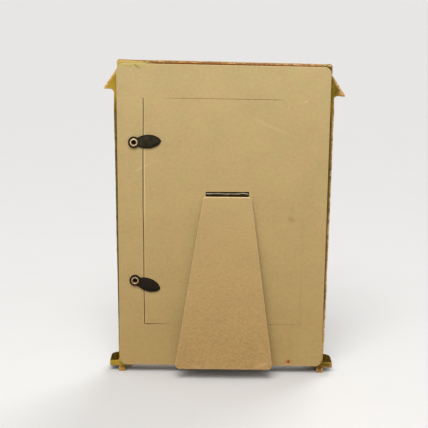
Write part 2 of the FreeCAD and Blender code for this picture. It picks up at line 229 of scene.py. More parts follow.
def neighbour_mean(values, edges, count):
    """Each vertex's mean of its neighbours' values."""
    ends, others = np.concatenate([edges, edges[:, ::-1]]).T
    number = np.bincount(ends, minlength=count)
    sums = [np.bincount(ends, column[others], minlength=count) for column in np.atleast_2d(values.T)]
    return (np.array(sums) / np.maximum(number, 1)).T.reshape(values.shape)


def fade(values, low, high):
    """0 up to low, 1 from high on, and a smooth rise between."""
    t = np.clip((values - low) / (high - low), 0, 1)
    return t * t * (3 - 2 * t)


cast_grain = 0.50 * mm      # even faces about this size
shell = place("shell", frame["nodes"]["frame_casting"].data.copy())
voxels = shell.modifiers.new("voxels", "REMESH")
voxels.mode = "VOXEL"
voxels.voxel_size = cast_grain
soften = shell.modifiers.new("soften", "SMOOTH")
soften.iterations = 1
casting_mesh = bpy.data.meshes.new_from_object(shell.evaluated_get(bpy.context.evaluated_depsgraph_get()))
casting_mesh.name = "cast_body"
bpy.data.objects.remove(shell)

points = points_of(casting_mesh)
count = len(points)
edges = read(casting_mesh.edges, "vertices", 2, np.int32)
normals = read(casting_mesh.vertex_normals, "vector", 3).astype(float)

bulge = -((neighbour_mean(points, edges, count) - points) * normals).sum(1) / cast_grain
edge_bulge = neighbour_mean(bulge, edges, count)
wide_bulge = edge_bulge
for _ in range(9):
    wide_bulge = neighbour_mean(wide_bulge, edges, count)

# The back and the pocket are flat and bare, so the card and the glass still fit there.
cast_low, cast_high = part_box("frame_casting")
glass_low, glass_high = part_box("glass_pane")
step_half, step_low, step_high = 63.0 * mm, 33.2 * mm, 193.6 * mm
spare = 0.4 * mm
x, y, z = points.T
recess = ((np.abs(x) < step_half + spare) & (z > step_low - spare) & (z < step_high + spare)
          & (y > glass_low.y - spare))
fitted = recess | (y > cast_high.y - 0.3 * mm)
uneven = 0.20 * mm * ripple(points, 21 * mm, 1) + 0.07 * mm * ripple(points, 4.2 * mm, 2)
uneven = np.where(fitted, -np.abs(uneven) * 0.4, uneven)
points = points + normals * uneven[:, None]
x, y, z = points.T           # what is done to these is done to the points

facing_up = fade(normals[:, 2], 0.5, 0.85)
spots = fade(ripple(points, 2.6 * mm, 7) + 0.6 * ripple(points, 1.1 * mm, 8), 0.05, 0.4)
crest = facing_up * fade(z, cast_high.z - 1.5 * mm, cast_high.z - 0.8 * mm) * fade(y, -5 * mm, -1.5 * mm)

# The head came out of its soft mould askew: its eaves tip by 1.4 degrees, its top by less.
eave_tilt = 1.9 * mm         # up at one tip and down at the other
top_tilt, top_drop = 1.18 * mm, 1.05 * mm
top_shift, tip_short = 0.4 * mm, 0.8 * mm
across = x / cast_high.x
eaves = fade(z, 180 * mm, 195 * mm)
above = fade(z, 207.5 * mm, 209.5 * mm)
z += eave_tilt * across * np.abs(across) * eaves * (1 - above)
z += (top_tilt * across - top_drop) * above
x -= top_shift * above + tip_short * eaves * (1 - above) * fade(across, 0.85, 1)

# The top's back edge is chipped between its spots, and its two corners came out sharp.
z -= 0.35 * mm * crest * (1 - spots)
corner = fade(np.abs(x), 68.2 * mm, 69.6 * mm) * fade(z, 211.9 * mm, 213.2 * mm)
x += np.where(x > 0, 0.05 * mm, -0.35 * mm) * corner
z += np.where(x > 0, 0.25 * mm, 0.45 * mm) * corner * above

# Its feet are waisted: each stands on a pad a little wider than its neck.
neck, neck_half = 3.5 * mm, 1.1 * mm
for side in (-1, 1):
    own = (side * x > 0) & (z < 5.3 * mm)
    sole = x[own & (z < 2.5 * mm)]
    middle = (sole.min() + sole.max()) / 2
    own &= np.abs(x - middle) < 3.2 * mm
    waist = 0.16 * np.exp(-((z - neck) / neck_half) ** 2)
    x -= np.where(own, (x - middle) * waist, 0)

# One side swelled a little in the mould.
swell = 0.45 * mm
x -= swell * (fade(-x, 64 * mm, 69 * mm) * fade(z, 12 * mm, 30 * mm) * (1 - eaves))
points = np.clip(points, cast_low, cast_high)
set_points(casting_mesh, points)
x, y, z = points.T

# Where it has been handled, rubbed and chipped, 0 to 1 at each point.
ledge = facing_up * fade(z, 7.0 * mm, 7.5 * mm) * fade(-z, -9.6 * mm, -9.0 * mm)
plinth = fade(-z, -10 * mm, -8.5 * mm)
on_eaves = eaves * (1 - above)
minus_side = fade(-x, 0, 60 * mm)
outside = fade(np.abs(x), 64 * mm, 67 * mm)
rear = fade(y, -10.5 * mm, -2.5 * mm)
back_edge = fade(y, -1.6 * mm, -0.9 * mm)
stem = outside * fade(z, 10 * mm, 13 * mm)
handled = np.maximum.reduce([on_eaves, plinth * (0.1 + 0.8 * back_edge * (1 - ledge)),
                             stem * (0.25 + 0.7 * minus_side)])
rub = fade(edge_bulge, 0.03, 0.09)
for _ in range(2):
    rub = np.maximum(rub, np.minimum(1.9 * neighbour_mean(rub, edges, count), 1))
chips = ripple(points, 3.2 * mm, 5) + 0.5 * ripple(points, 1.3 * mm, 6) + 0.25 * minus_side * outside
chips = fade(chips, -0.25, 0.2)
spared = minus_side * on_eaves * (1 - fade(-x, 71 * mm, 74 * mm))
rub = rub * handled * (0.2 + 0.8 * chips) * (1 - 0.6 * spared)
rub = rub * (1 - 0.7 * plinth * fade(z, 6.4 * mm, 7.2 * mm))
rub = rub * (1 - 0.6 * above * fade(-x, 62 * mm, 66 * mm))
tip = minus_side * on_eaves * back_edge * fade(-x, 74.3 * mm, 76.8 * mm)
feet = fade(-z, -5.5 * mm, -4.5 * mm) * back_edge
feet = feet * (1 - 0.7 * minus_side) * fade(-z, -3.2 * mm, -2.4 * mm)
slab_end = plinth * back_edge * fade(z, 4.0 * mm, 4.6 * mm) * (1 - ledge)
slab_end = slab_end * fade(np.abs(x) + 1.2 * mm * chips, 76.2 * mm, 77.9 * mm)
crest_end = 0.75 * crest * fade(x, 52 * mm, 60 * mm)
rub = np.maximum.reduce([rub, crest * (0.05 + 0.9 * spots), feet * (0.25 + 0.35 * chips), 0.85 * tip,
                         crest_end, 0.8 * slab_end])

# Where the gold has gone dark, red or thick, where the wash has run in, and painted shade
# at the feet's necks; the slab's top is darkened too.
stem = stem * rear * fade(z, 10 * mm, 60 * mm) * (1 - eaves)
dark_end = 0.15 + 0.65 * minus_side * np.maximum(on_eaves, plinth) * rear
dark_feet = (0.5 + 0.3 * minus_side) * fade(-z, -6 * mm, -3 * mm)
tarnish = np.maximum.reduce([0.95 * stem, dark_end, above * rear, dark_feet])
tarnish = np.clip(tarnish + 2.0 * ripple(points, 7 * mm, 11) * tarnish * (1 - tarnish), 0, 1)
head_middle = above * fade(-np.abs(x), -67 * mm, -60 * mm)
ruddy = np.maximum(head_middle, fade(-z, -7 * mm, -4 * mm))
daub = fade(x, 44 * mm, 54 * mm) * fade(z, 204 * mm, 207 * mm) * (normals[:, 1] > 0.5)
# Painted shade round each foot's waist.
neck_shade = 0.4 * np.exp(-((z - 3.4 * mm) / (0.7 * mm)) ** 2)
hollow_and_shade = np.maximum.reduce([fade(-wide_bulge, 0.004, 0.05), ledge, neck_shade])
wear = {"rub": rub, "hollow_and_shade": hollow_and_shade, "tarnish": tarnish, "ruddy": ruddy, "daub": daub, "bare": recess}
for name, values in wear.items():
    store(casting_mesh, name, values)

# Antique gold over dark green-brown: bronze powder in a varnish, so half metal and half
# paint, satin where it is rubbed and matt where the wash lies in the hollows and where shade is painted.
gilding, add, where = new_material("antique_gold_over_resin_rubbed")
cloud = add("TexNoise", {"Vector": where, "Scale": 1 / (14 * mm), "Detail": 5.0, "Roughness": 0.62})[0]
speck = add("TexNoise", {"Vector": where, "Scale": 1 / (1.6 * mm), "Detail": 4.0, "Roughness": 0.7})[0]
rub, hollow_and_shade, tarnish, ruddy, daub, bare = (add("Attribute", attribute_name=name)["Fac"] for name in wear)
gold = add("Mix", {0: cloud, 6: "#CBAA40", 7: "#A48832"})[2]
patch = add("MapRange", {0: speck, 1: 0.52, 2: 0.74})[0]
patch = add("Math", {0: patch, 1: 0.55}, operation="MULTIPLY")[0]
gold = add("Mix", {0: patch, 6: gold, 7: "#66591F"})[2]
dirt = add("MapRange", {0: speck, 1: 0.36, 2: 0.54, 3: 0.65})[0]
dirt = add("Math", {0: dirt, 1: tarnish}, operation="MULTIPLY")[0]
old = add("Mix", {0: ruddy, 6: "#4A4010", 7: "#6A3C1C"})[2]
gold = add("Mix", {0: dirt, 6: gold, 7: old})[2]
# The dark wash in the hollows; the same colour is painted shade at the feet's necks, and darkens the slab's
# top.
wash_and_shade = add("MapRange", {0: speck, 1: 0.3, 2: 0.5, 3: 0.8})[0]
wash_and_shade = add("Math", {0: wash_and_shade, 1: hollow_and_shade}, operation="MULTIPLY")[0]
gold = add("Mix", {0: wash_and_shade, 6: gold, 7: "#3A2C0A"})[2]
worn = add("MapRange", {0: speck, 1: 0.38, 2: 0.54})[0]
worn = add("Math", {0: worn, 1: rub}, operation="MULTIPLY")[0]
chip = add("MapRange", {0: cloud, 1: 0.37, 2: 0.55})[0]
chip = add("Mix", {0: chip, 6: "#D08E62", 7: "#EBC497"})[2]
gold = add("Mix", {0: daub, 6: gold, 7: "#B5A660"})[2]
gold = add("Mix", {0: worn, 6: gold, 7: chip})[2]
gold = add("Mix", {0: bare, 6: gold, 7: "#7A5630"})[2]
matt = add("MapRange", {0: speck, 3: 0.36, 4: 0.60})[0]
dull = bare
for cover in (wash_and_shade, worn, daub):
    dull = add("Math", {0: dull, 1: cover}, operation="MAXIMUM")[0]
matt = add("Math", {0: dull, 1: 0.35, 2: matt}, operation="MULTIPLY_ADD", use_clamp=True)[0]
metal = add("MapRange", {0: dull, 3: 0.45, 4: 0.0})[0]
relief = add("Bump", {"Height": speck, "Strength": 0.35, "Distance": 0.08 * mm})[0]
surface = add("BsdfPrincipled", {"Base Color": gold, "Metallic": metal, "Roughness": matt,
                                 "Specular IOR Level": 0.0, "Normal": relief})[0]
add("OutputMaterial", {"Surface": surface})

cast_body = link_piece("cast_frame_body", casting_mesh, gilding, smooth=True)
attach(cast_body, "frame")
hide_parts("frame_casting")


# ---- Glass, print and filler ----
# They lie in the pocket behind the sight opening: a pane of 2 mm float glass cut with a
# wheel and arrissed, a blank print on photographic paper, and a pad of grey millboard
# that presses both against the lip.

def even_outline(corners, step):
    """Points about a step apart round an outline. corners are (x, z, radius)."""
    turns = []
    for index, (x, z, radius) in enumerate(corners):
        corner = Vector((x, z))
        before, after = ((Vector(corners[(index + k) % len(corners)][:2]) - corner).normalized()
                         for k in (-1, 1))
        if radius == 0:
            turns.append(corner)
            continue
        half = before.angle(after) / 2
        middle = corner + (before + after).normalized() * radius / math.sin(half)
        sweep = math.pi - 2 * half
        first, last = (corner + side * radius / math.tan(half) - middle for side in (before, after))
        parts = max(4, round(radius * sweep / step))
        for k in range(parts + 1):
            turn = sweep * k / parts
            spoke = first * math.sin(sweep - turn) + last * math.sin(turn)
            turns.append(middle + spoke / math.sin(sweep))
    outline = []
    for index, start in enumerate(turns):
        end = turns[(index + 1) % len(turns)]
        parts = max(1, round((end - start).length / step))
        outline += [start.lerp(end, k / parts) for k in range(parts)]
    return np.array(outline)


def box_outline(low, high, radius, step=1.2 * mm):
    """An upright rectangle between two corners of a box, seen along Y."""
    corners = ((low.x, low.z), (high.x, low.z), (high.x, high.z), (low.x, high.z))
    return even_outline([(x, z, radius) for x, z in corners], step)


def crosses(loop, places):
    """Which places lie inside a loop: those with an odd number of its sides to their right."""
    x, z = places.T[:, :, None]
    x0, z0 = loop.T
    x1, z1 = np.roll(loop, -1, 0).T
    level = (z0 > z) != (z1 > z)
    safe = np.where(z1 == z0, 1, z1 - z0)
    return ((level & (x < (x1 - x0) * (z - z0) / safe + x0)).sum(1) % 2).astype(bool)


def cut_sheet(name, loops, inner, outer, spacing, frayed=0.0):
    """A flat sheet facing +Y. loops are (outline, edge rounding): the outside, then the holes.

    A rounding is one number, or one for each point. The edges fray sideways by up to that
    much, and the faces have points about a spacing apart. "cut" is 1 on the cut edges, and
    "inside" is 1 on the inner face. The edges are shaded round and the faces flat.
    """
    points, quads, flat, rings, cut, inside = [], [], [], [], [], []
    for number, (loop, rounding) in enumerate(loops):
        rounding = np.zeros(len(loop)) + rounding
        turns = [(rounding * (1 - math.sin(a)), rounding * (1 - math.cos(a)))
                 for a in (0, math.pi / 4, math.pi / 2)]
        profile = [(inset, outer - drop) for inset, drop in turns]
        profile += [(inset, inner + drop) for inset, drop in reversed(turns)]
        area = (loop[:, 0] * np.roll(loop[:, 1], -1) - np.roll(loop[:, 0], -1) * loop[:, 1]).sum()
        if (area > 0) == (number > 0):
            loop = loop[::-1]
            profile = [(inset[::-1], y[::-1]) for inset, y in profile]
            rounding = rounding[::-1]
        along = np.roll(loop, -1, 0) - np.roll(loop, 1, 0)
        along /= np.linalg.norm(along, axis=1)[:, None]
        inward = np.stack([-along[:, 1], along[:, 0]], 1)
        if frayed:
            places = np.insert(loop, 1, 0.3, 1)
            crisp = np.minimum(rounding / (0.06 * mm), 1)
            loop = loop + inward * (frayed * crisp * np.abs(ripple(places, 2.2 * mm, 9)))[:, None]
        base, size = len(points), len(loop)
        for depth, (inset, y) in enumerate(profile):
            points += [(x, high, z) for (x, z), high in zip(loop + inward * inset[:, None], y)]
            cut += [0.0 if depth in (0, len(profile) - 1) else 1.0] * size
            inside += [float(depth >= len(turns))] * size
        for depth in range(len(profile) - 1):
            for i in range(size):
                a, b = base + depth * size + i, base + depth * size + (i + 1) % size
                quads.append((a, b, b + size, a + size))
        rings.append((base, size, len(profile) - 1))
        flat.append(loop + inward * rounding[:, None])
    borders = np.concatenate(flat)
    low, high = flat[0].min(0), flat[0].max(0)
    columns = np.arange(low[0] + spacing / 2, high[0], spacing)
    rows = np.arange(low[1] + spacing / 2, high[1], spacing)
    grid = np.array([(x, z) for z in rows for x in columns]).reshape(-1, 2)
    keep = crosses(flat[0], grid)
    for hole in flat[1:]:
        keep &= ~crosses(hole, grid)
    for i in range(0, len(grid), 2000):
        gap = np.linalg.norm(grid[i:i + 2000, None] - borders[None], axis=2).min(1)
        keep[i:i + 2000] &= gap > spacing * 0.45
    grid = grid[keep]
    sides, start = [], 0
    for loop in flat:
        size = len(loop)
        sides += [(start + i, start + (i + 1) % size) for i in range(size)]
        start += size
    places = [Vector(p) for p in np.concatenate([borders, grid])]
    found, _, triangles, origin, _, _ = delaunay_2d_cdt(places, sides, [], 1, 1e-9)
    outer_at, inner_at = [], []
    for base, size, last in rings:
        outer_at += range(base, base + size)
        inner_at += range(base + last * size, base + (last + 1) * size)
    for y, at, within in ((outer, outer_at, 0.0), (inner, inner_at, 1.0)):
        at += range(len(points), len(points) + len(grid))
        points += [(x, y, z) for x, z in grid]
        cut += [0.0] * len(grid)
        inside += [within] * len(grid)
    middles = np.array([sum((found[i] for i in t), Vector((0, 0))) / 3 for t in triangles])
    solid = np.ones(len(triangles), bool)
    for hole in flat[1:]:
        solid &= ~crosses(hole, middles)
    tiles = [[origin[i][0] for i in t] for t, kept in zip(triangles, solid) if kept]
    faces = quads + [[outer_at[i] for i in reversed(t)] for t in tiles]
    faces += [[inner_at[i] for i in t] for t in tiles]
    mesh = new_mesh(name, points, faces)
    mesh.polygons.foreach_set("use_smooth", [number < len(quads) for number in range(len(faces))])
    store(mesh, "cut", cut)
    store(mesh, "inside", inside)
    return mesh


pane_mesh = cut_sheet("pane", [(box_outline(glass_low, glass_high, 0, 3 * mm), 0.3 * mm)],
                      glass_low.y, glass_high.y, 8 * mm)

# Float glass: clear, with ground edges that look pale green. Lamplight is let through it,
# since the pane is thin.
float_glass, add, where = new_material("float_glass_clear_ground_edges")
edge = add("Attribute", attribute_name="cut")["Fac"]
draw = add("TexNoise", {"Vector": where, "Scale": 1 / (45 * mm), "Detail": 1.0})[0]
dust = add("TexNoise", {"Vector": where, "Scale": 1 / (9 * mm), "Detail": 6.0, "Roughness": 0.7})[0]
matt = add("MapRange", {0: dust, 1: 0.45, 2: 0.75, 3: 0.015, 4: 0.05})[0]
matt = add("Math", {0: edge, 1: 0.45, 2: matt}, operation="MULTIPLY_ADD", use_clamp=True)[0]
tint = add("Mix", {0: edge, 6: "#FBFDFC", 7: "#B9D6C6"})[2]
relief = add("Bump", {"Height": draw, "Strength": 0.10, "Distance": 0.2 * mm})[0]
clear = add("BsdfPrincipled", {"Base Color": tint, "Roughness": matt, "IOR": 1.52,
                               "Transmission Weight": 1.0, "Normal": relief})[0]
open_to_lamps = add("BsdfTransparent", {"Color": "#FCFDFC"})[0]
path = add("LightPath")
passing = add("Math", {0: path["Is Shadow Ray"], 1: path["Is Diffuse Ray"]}, operation="MAXIMUM")[0]
surface = add("MixShader", {0: passing, 1: clear, 2: open_to_lamps})[0]
add("OutputMaterial", {"Surface": surface})
pane = link_piece("glass_pane_cut", pane_mesh, float_glass, smooth=False)
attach(pane, "frame")
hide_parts("glass_pane")

# Photographic paper, unprinted: resin-coated, warm white with a pearl skin and a faint
# mottle where the coating is uneven.
photo_paper, add, where = new_material("resin_coated_paper_pearl")
cloud = add("TexNoise", {"Vector": where, "Scale": 1 / (30 * mm), "Detail": 3.0})[0]
pearl = add("TexNoise", {"Vector": where, "Scale": 1 / (0.5 * mm), "Detail": 1.0})[0]
white = add("Mix", {0: cloud, 6: "#E6E2D8", 7: "#EFEBE2"})[2]
matt = add("MapRange", {0: cloud, 3: 0.26, 4: 0.36})[0]
relief = add("Bump", {"Height": pearl, "Strength": 0.2, "Distance": 0.02 * mm})[0]
surface = add("BsdfPrincipled", {"Base Color": white, "Roughness": matt, "Normal": relief})[0]
add("OutputMaterial", {"Surface": surface})
for slot in frame["nodes"]["photo_insert"].material_slots:
    slot.material = photo_paper

filler_low, filler_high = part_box("filler_board")
filler_mesh = cut_sheet("filler", [(box_outline(filler_low, filler_high, 0.8 * mm), 0.2 * mm)],
                        filler_low.y, filler_high.y, 4 * mm, frayed=0.08 * mm)

# Grey millboard: pulped paper pressed in plies, matt and flecked, with the plies showing
# as fine lines on the guillotined edges.
millboard, add, where = new_material("grey_millboard_matt")
fleck = add("TexNoise", {"Vector": where, "Scale": 1 / (1.3 * mm), "Detail": 5.0, "Roughness": 0.7})[0]
cloud = add("TexNoise", {"Vector": where, "Scale": 1 / (18 * mm), "Detail": 3.0})[0]
ply = add("TexWave", {"Vector": where, "Scale": 1 / (6.0 * mm), "Distortion": 1.5}, bands_direction="Y")[0]
edge = add("Attribute", attribute_name="cut")["Fac"]
ply = add("Math", {0: ply, 1: edge}, operation="MULTIPLY")[0]
grey = add("MapRange", {0: fleck, 1: 0.3, 2: 0.7})[0]
grey = add("Mix", {0: grey, 6: "#7C766B", 7: "#9A9386"})[2]
shade = add("MapRange", {0: cloud, 1: 0.3, 2: 0.7, 3: 0.93, 4: 1.05})[0]
grey = add("VectorMath", {0: grey, 3: shade}, operation="SCALE")[0]
grey = add("Mix", {0: ply, 6: grey, 7: "#5E584E"})[2]
relief = add("Bump", {"Height": fleck, "Strength": 0.5, "Distance": 0.06 * mm})[0]
surface = add("BsdfPrincipled", {"Base Color": grey, "Roughness": 0.88, "Specular IOR Level": 0.25,
                                 "Normal": relief})[0]
add("OutputMaterial", {"Surface": surface})
filler = link_piece("millboard_filler", filler_mesh, millboard)
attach(filler, "frame")
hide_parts("filler_board")


# ---- Card back and its door ----
# A sheet of 2 mm grey board faced with tan paper, stamped out with rounded corners and
# stuck to the casting with four strips of double-sided tissue tape. Its door is cut
# through on three sides with a knife and scored on the fourth, so the paper is the hinge.

# Double-sided tape: crinkled tissue soaked in a clear amber glue.
tissue_tape, add, where = new_material("tissue_tape_amber")
crinkle = add("TexNoise", {"Vector": where, "Scale": 1 / (2.5 * mm), "Detail": 4.0, "Distortion": 0.6})[0]
amber = add("Mix", {0: crinkle, 6: "#C9B887", 7: "#DDD2AE"})[2]
matt = add("MapRange", {0: crinkle, 3: 0.3, 4: 0.5})[0]
surface = add("BsdfPrincipled", {"Base Color": amber, "Roughness": matt})[0]
add("OutputMaterial", {"Surface": surface})
for slot in frame["nodes"]["adhesive_strips"].material_slots:
    slot.material = tissue_tape


def circle_outline(x, z, radius, count):
    turns = np.arange(count) * 2 * math.pi / count
    return np.stack([x + radius * np.cos(turns), z + radius * np.sin(turns)], 1)


def cockle(mesh, depth, seed):
    """Lets a card surface wander by up to a depth, as damp board does."""
    points = points_of(mesh)
    points[:, 1] += depth * ripple(points * (1, 0, 1), 24 * mm, seed)
    set_points(mesh, points)


board_low, board_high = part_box("back_board")
door_low, door_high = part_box("door_panel")
joint_at = {joint["name"]: Vector(joint["pos_m"]) for joint in frame["joints"]}
pivots = {"upper": joint_at["upper_button_turn"], "lower": joint_at["lower_button_turn"]}
hinge = joint_at["leg_fold"]
rest_angle = math.radians(5.5)
board_corner = 4.5 * mm
bore_rounding = 0.10 * mm
hole_sides = 32
top_slant = 1.45 * mm        # the board's top edge drops this much towards -X
barrel = 1.85 * mm           # radius of the eyelets' barrels
leg_thick = 2.0 * mm         # the leg is of the same board
card_step = 1.2 * mm

short = 0.3 * mm             # trimmed off the side towards -X
board_corners = ((board_low.x + short, board_low.z), (board_high.x, board_low.z),
                 (board_high.x, board_high.z), (board_low.x + short, board_high.z - top_slant))
board_outline = even_outline([(x, z, board_corner) for x, z in board_corners], card_step)

# The door was cut by eye, so it is not quite square. The knife opened the free edge most,
# and deepest at one height. The scored edge has room to swing behind its paper.
knife_gap = 0.14 * mm
fold_room = 0.11 * mm
deepest_cut = 138 * mm


def free_bite(z):
    """How far the knife opened the free edge at a height, in units of knife_gap."""
    return 3.2 + 1.5 * np.exp(-((z - deepest_cut) / (24 * mm)) ** 2)


door_outline = even_outline([
    (door_low.x, door_low.z, 0), (door_high.x, door_low.z - 0.12 * mm, 0),
    (door_high.x, door_high.z, 0), (door_low.x, door_high.z - 0.75 * mm, 0)], card_step)
x, z = door_outline.T
wander = 0.2 * np.exp(-((z - 117 * mm) / (14 * mm)) ** 2) - 0.33 * fade(z, 150 * mm, 185 * mm)
wander -= 0.2 * fade(-z, -60 * mm, -38 * mm)
door_outline[:, 0] += np.where(x > door_high.x - 0.01 * mm, wander * mm, 0)
doorway = door_outline.copy()
x, z = doorway.T.copy()
middle = (door_low.z + door_high.z) / 2
at_side = (x < door_low.x + 0.01 * mm) | (x > door_high.x - 0.5 * mm)
top_cut = fade(x, -42 * mm, -35 * mm) * fade(-x, -44 * mm, -24 * mm)
foot_cut = 1.4 * fade(x, 32 * mm, 44 * mm) + 2.4 * fade(x, 44 * mm, 52 * mm)
foot_cut += 0.7 * fade(-x, 25 * mm, 34 * mm) * fade(x, -52 * mm, -49 * mm)
bite = np.where(at_side, np.where(x > 0, free_bite(z), 0), np.where(z > middle, top_cut, foot_cut))
gap = 0.004 * mm + knife_gap * bite
doorway[:, 1] += np.where(at_side, 0, np.where(z > middle, gap, -gap))
doorway[:, 0] += np.where(at_side, np.where(x > 0, gap, -fold_room), 0)
knife_rounding = 0.01 * mm + 0.05 * mm * np.minimum(bite, 1)
cut_reach = 1.1 * mm         # everything of the cut lies this near the door's box


def slit_walls(mesh):
    """1 on the walls of the cut round the door, for the material to read."""
    x, y, z = points_of(mesh).T
    middle, half = (door_low + door_high) / 2, (door_high - door_low) / 2
    past = np.maximum(np.abs(x - middle.x) - half.x, np.abs(z - middle.z) - half.z)
    return stored(mesh, "cut") * (np.abs(past) < cut_reach)


# The stamp left soft edges, and a crisp one along the top.
board_rounding = 0.45 * mm - 0.33 * mm * (board_outline[:, 1] > board_high.z - 1.7 * mm)
board_loops = [(board_outline, board_rounding), (doorway, knife_rounding)]
board_loops += [(circle_outline(at.x, at.z, barrel, hole_sides), bore_rounding) for at in pivots.values()]
card_spacing = 3.5 * mm
card_cockle = 0.04 * mm
board_mesh = cut_sheet("card_board", board_loops, board_low.y, board_high.y, card_spacing, frayed=0.07 * mm)
store(board_mesh, "slit_shade", slit_walls(board_mesh))

# The blade was a wedge, so the free cut narrows towards the inside of the board.
points = points_of(board_mesh)
x, y, z = points.T
depth = (board_high.y - y) / (board_high.y - board_low.y)
at_cut = (np.abs(x - door_high.x) < cut_reach) & (np.abs(z - middle) < middle - door_low.z)
x -= np.where(at_cut, depth * (knife_gap * free_bite(z) - 0.06 * mm), 0)
set_points(board_mesh, points)
cockle(board_mesh, card_cockle, 3)

# Tan paper over grey board: matt, with the fibres lying across the sheet, and grey inside. Its
# cut edges are paler, partly the paper's own and partly painted highlight, and painted warm bounce light
# makes it warmer and darker towards the foot.
card, add, where = new_material("tan_paper_on_grey_board_matt")
cloud = add("TexNoise", {"Vector": where, "Scale": 1 / (22 * mm), "Detail": 4.0})[0]
on_leg, inside, edge, slit_shade = (
    add("Attribute", attribute_name=name)["Fac"] for name in ("on_leg", "inside", "cut", "slit_shade"))
grain = add("VectorMath", {0: where, 1: (0.85, 1.0, 1.0)}, operation="MULTIPLY")[0]
felt = add("TexNoise", {"Vector": grain, "Scale": 1 / (1.7 * mm), "Detail": 3.0, "Roughness": 0.6})[0]
grain = add("VectorMath", {0: where, 1: (0.35, 1.0, 1.0)}, operation="MULTIPLY")[0]
strand = add("TexNoise", {"Vector": grain, "Scale": 1 / (0.7 * mm)})[0]
high = add("SeparateXYZ", {"Vector": where})["Z"]
# Painted warm bounce light from below: warmer and darker from the top down to the foot.
painted_bounce_warmth = add("MapRange", {0: high, 1: 205 * mm, 2: 6 * mm})[0]
low_tan = add("Mix", {0: on_leg, 6: "#B79B66", 7: "#B08F5D"})[2]
tan = add("Mix", {0: painted_bounce_warmth, 6: "#C1AC7C", 7: low_tan})[2]
shade = add("MapRange", {0: cloud, 1: 0.3, 2: 0.7, 3: 0.965, 4: 1.035})[0]
coarse = add("MapRange", {0: high, 1: 118 * mm, 2: 10 * mm, 3: 0.5, 4: 2.6})[0]
coarse = add("Mix", {0: on_leg, 2: 1.0, 3: coarse}, data_type="FLOAT")[0]
for fibres, light in ((felt, 0.055), (strand, 0.035)):
    grain = add("MapRange", {0: fibres, 1: 0.25, 2: 0.75, 3: -light, 4: light})[0]
    shade = add("Math", {0: grain, 1: coarse, 2: shade}, operation="MULTIPLY_ADD")[0]
tan = add("VectorMath", {0: tan, 3: shade}, operation="SCALE")[0]
tinge = add("TexNoise", {"Vector": where, "Scale": 1 / (8 * mm), "Detail": 1.0})[0]
faint = add("MapRange", {0: on_leg, 3: 0.1, 4: 0.36})[0]
strong = add("MapRange", {0: on_leg, 3: 0.9, 4: 0.64})[0]
tinge = add("MapRange", {0: tinge, 1: 0.3, 2: 0.7, 3: faint, 4: strong})[0]
tinge = add("Mix", {0: tinge, 6: "#FFFBFD", 7: "#FBFFFB"})[2]
tan = add("VectorMath", {0: tan, 1: tinge}, operation="MULTIPLY")[0]

# Marks on the outer face, as (x, z, half length, half height, lean, colour, strength).
# Places and sizes are in millimetres and leans in degrees.
marks = [
    (-46.1, 110.2, 3.2, 2.2, 25, "#9C8054", 0.40),      # old damp spot
    (-46.9, 8.9, 2.8, 2.3, 0, "#B8683C", 0.65),         # drop of red-brown varnish
    (-46.8, 8.9, 1.3, 1.15, 0, "#7A3A10", 0.90),
    (62.0, 211.9, 21.0, 2.2, -1, "#C0B06E", 0.80),      # gold paint smeared over the top edge
    (56.4, 211.2, 2.9, 1.1, 31, "#7A6C42", 0.55),       # scuffs in it
    (62.3, 211.2, 4.2, 0.5, 3, "#948A5C", 0.50),
    (54.0, 144.5, 8.5, 0.9, -27, "#D3C093", 0.45),      # soft crease beside the door
    (-33.0, 172.0, 22.0, 1.2, 24, "#CDB988", 0.30),     # rubbed streak across the door
    (-27.5, 11.6, 6.5, 2.0, -20, "#CDAA7C", 0.45),      # scuffs at the leg's foot
    (17.0, 10.2, 5.0, 1.0, 10, "#C9A477", 0.40),
]
for x, z, length, height, lean, colour, strength in marks:
    on_foot = abs(x) < 36 and z < 20
    face = hinge.y + leg_thick + (hinge.z - z * mm) * math.tan(rest_angle) if on_foot else board_high.y
    near = add("Mapping", {"Vector": where, "Location": (x * mm, face, z * mm),
                           "Rotation": (0, -math.radians(lean), 0),
                           "Scale": (length * mm, 0.9 * mm, height * mm)}, vector_type="TEXTURE")[0]
    reach = add("VectorMath", {0: near}, operation="LENGTH")["Value"]
    reach = add("Math", {0: felt, 1: 1.3, 2: reach}, operation="MULTIPLY_ADD")[0]
    stain = add("MapRange", {0: reach, 1: 1.6, 2: 1.1, 4: strength})[0]
    tan = add("Mix", {0: stain, 6: tan, 7: colour})[2]

# The knife raised a burr on both sides of the free cut, most where it bit deepest. Its pale band is partly
# the raised paper and partly painted highlight where it catches the light.
half = (door_high - door_low) / 2
past = add("VectorMath", {0: where, 1: (door_low + door_high) / 2}, operation="SUBTRACT")[0]
past = add("VectorMath", {0: past}, operation="ABSOLUTE")[0]
past = add("VectorMath", {0: past, 1: half}, operation="SUBTRACT")[0]
past = add("SeparateXYZ", {"Vector": past})
burr_highlight = add("Math", {0: past["X"]}, operation="ABSOLUTE")[0]
deepest = add("Math", {0: high, 1: deepest_cut}, operation="SUBTRACT")[0]
deepest = add("Math", {0: deepest}, operation="ABSOLUTE")[0]
deepest = add("MapRange", {0: deepest, 1: 38 * mm, 2: 10 * mm, 3: 0.12, 4: 0.50})[0]
burr_highlight = add("MapRange", {0: burr_highlight, 1: 1.3 * mm, 2: 0.8 * mm, 4: deepest})[0]
across = add("SeparateXYZ", {"Vector": where})["X"]
across = add("Math", {0: across, 1: 0.0}, operation="GREATER_THAN")[0]
burr_highlight = add("Math", {0: burr_highlight, 1: across}, operation="MULTIPLY")[0]
upward = add("MapRange", {0: past["Z"], 1: 0.5 * mm, 2: -2 * mm})[0]
burr_highlight = add("Math", {0: burr_highlight, 1: upward}, operation="MULTIPLY")[0]
tan = add("Mix", {0: burr_highlight, 6: tan, 7: "#DFCEA1"})[2]

